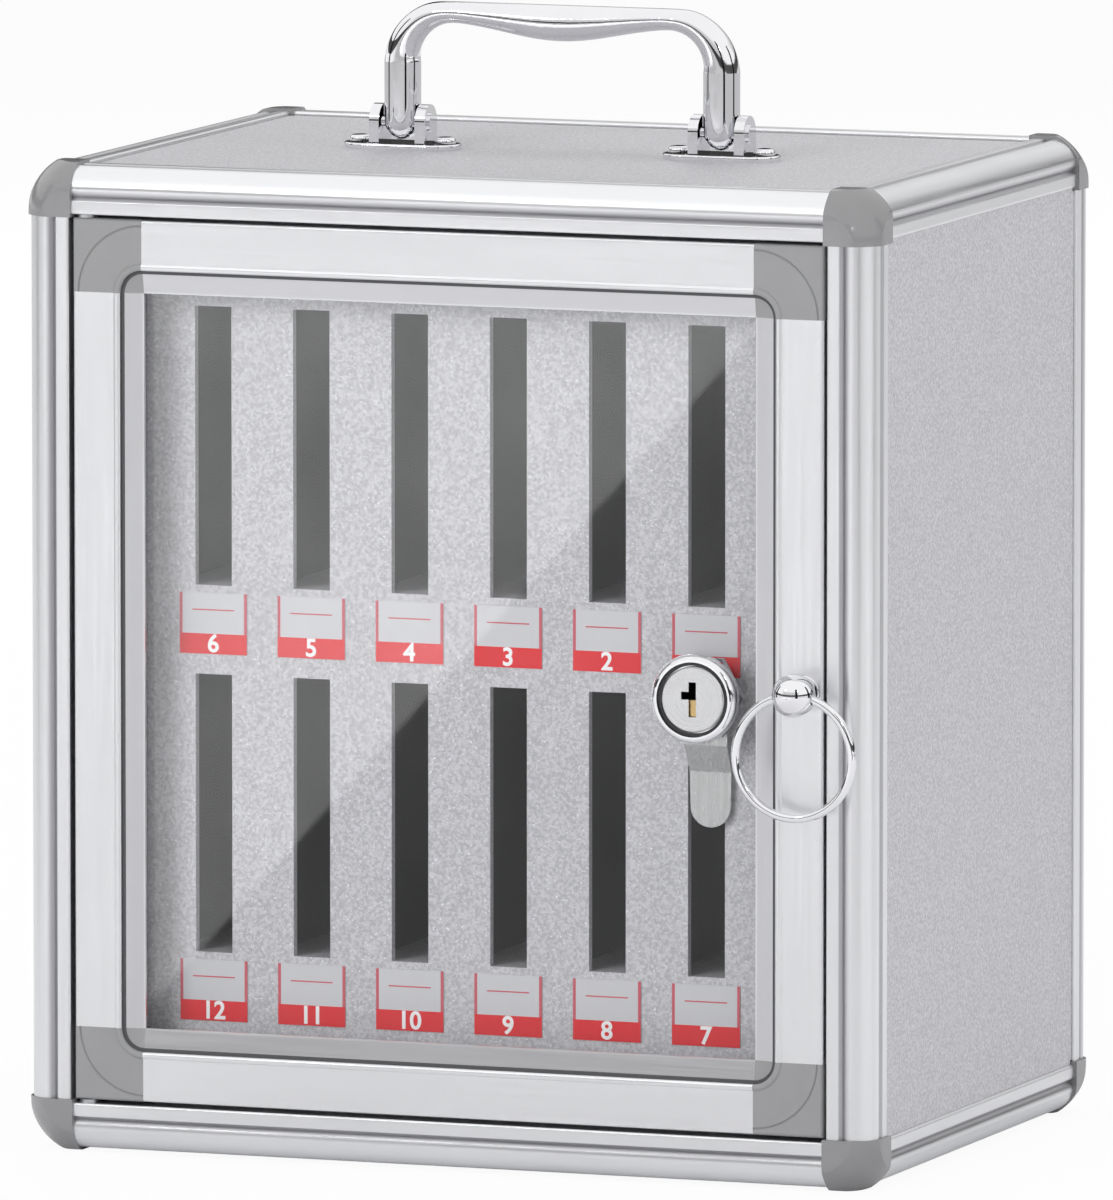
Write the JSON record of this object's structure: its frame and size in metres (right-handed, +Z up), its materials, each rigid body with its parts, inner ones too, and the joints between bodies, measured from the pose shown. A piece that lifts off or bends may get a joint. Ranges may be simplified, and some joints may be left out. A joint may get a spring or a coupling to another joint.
{
  "type": "cell phone locker box",
  "caption": "Lockable desk cabinet with upright slots for mobile phones behind a framed clear door, with a cam lock, a ring pull and a folding carry handle.",
  "frame": {"origin": "centre of the footprint of the whole object, on the plane its four lower corner caps stand on", "axes": "+Z up, +Y from the door to the back, +X to the right as seen from the door, away from its hinges"},
  "size_m": [0.302, 0.2368, 0.3797],
  "materials": {
    "edge_aluminium": "satin anodised extrusion",
    "corner_plastic": "moulded, semi-matt grey",
    "connector_plastic": "moulded, semi-matt grey",
    "silver_board": "silver film with a fine frosted grain",
    "plain_aluminium": "mill finish",
    "cleat_plastic": "plain",
    "label_card": "printed card, red band with a white number",
    "plain_steel": "zinc plated",
    "clear_acrylic": "clear, polished",
    "black_rubber": "matt",
    "lock_chrome": "polished",
    "black_trim": "glossy",
    "satin_steel": "fine turned",
    "cam_steel": "plated, satin",
    "pull_chrome": "polished",
    "handle_chrome": "polished",
    "screw_chrome": "polished"
  },
  "bodies": {
    "cabinet": {"post_front_left": "edge_aluminium", "post_front_right": "edge_aluminium", "post_rear_left": "edge_aluminium", "post_rear_right": "edge_aluminium", "rail_top_front": "edge_aluminium", "rail_bottom_front": "edge_aluminium", "rail_top_rear": "edge_aluminium", "rail_bottom_rear": "edge_aluminium", "rail_top_left": "edge_aluminium", "rail_top_right": "edge_aluminium", "rail_bottom_left": "edge_aluminium", "rail_bottom_right": "edge_aluminium", "corner_top_front_left": "corner_plastic", "corner_top_front_right": "corner_plastic", "corner_top_rear_left": "corner_plastic", "corner_top_rear_right": "corner_plastic", "corner_bottom_front_left": "corner_plastic", "corner_bottom_front_right": "corner_plastic", "corner_bottom_rear_left": "corner_plastic", "corner_bottom_rear_right": "corner_plastic", "panel_top": "silver_board", "panel_bottom": "silver_board", "panel_left": "silver_board", "panel_right": "silver_board", "panel_back": "silver_board", "slot_board": "silver_board", "lower_shelf": "silver_board", "upper_shelf": "silver_board", "lower_dividers": "silver_board", "upper_dividers": "silver_board", "shelf_ledges": "plain_aluminium", "board_cleats": "cleat_plastic", "slot_labels": "label_card", "door_stop": "plain_aluminium", "hinge_pins": "plain_steel", "handle_bracket_left": "handle_chrome", "handle_bracket_right": "handle_chrome", "handle_pins": "handle_chrome", "handle_screws": "screw_chrome", "handle_nuts": "plain_steel"},
    "door": {"door_stile_hinge": "edge_aluminium", "door_stile_lock": "edge_aluminium", "door_rail_top": "edge_aluminium", "door_rail_bottom": "edge_aluminium", "door_corner_top_left": "connector_plastic", "door_corner_top_right": "connector_plastic", "door_corner_bottom_left": "connector_plastic", "door_corner_bottom_right": "connector_plastic", "door_pane": "clear_acrylic", "glazing_strip": "black_rubber", "lock_body": "lock_chrome", "lock_trim_ring": "black_trim", "lock_nut": "plain_steel", "pull_knob": "pull_chrome", "pull_screw": "plain_steel"},
    "plug_and_cam": {"lock_plug": "satin_steel", "lock_cam": "cam_steel", "cam_screw": "plain_steel"},
    "ring": {"pull_ring": "pull_chrome"},
    "handle": {"carry_handle": "handle_chrome"}
  },
  "joints": [
    {"name": "door_hinge", "type": "hinge", "parent": "cabinet", "child": "door", "pos_m": [-0.1288, -0.09813, 0.166], "axis": [0, 0, -1], "range_deg": [0, 105]},
    {"name": "lock_turn", "type": "hinge", "parent": "door", "child": "plug_and_cam", "pos_m": [0.087, -0.09792, 0.162], "axis": [0, -1, 0], "range_deg": [0, 90]},
    {"name": "ring_swing", "type": "hinge", "parent": "door", "child": "ring", "pos_m": [0.1258, -0.11113, 0.166], "axis": [-1, 0, 0], "range_deg": [-8, 172]},
    {"name": "handle_fold", "type": "hinge", "parent": "cabinet", "child": "handle", "pos_m": [0, 0.00737, 0.3387], "axis": [1, 0, 0], "range_deg": [-90, 90]}
  ]
}
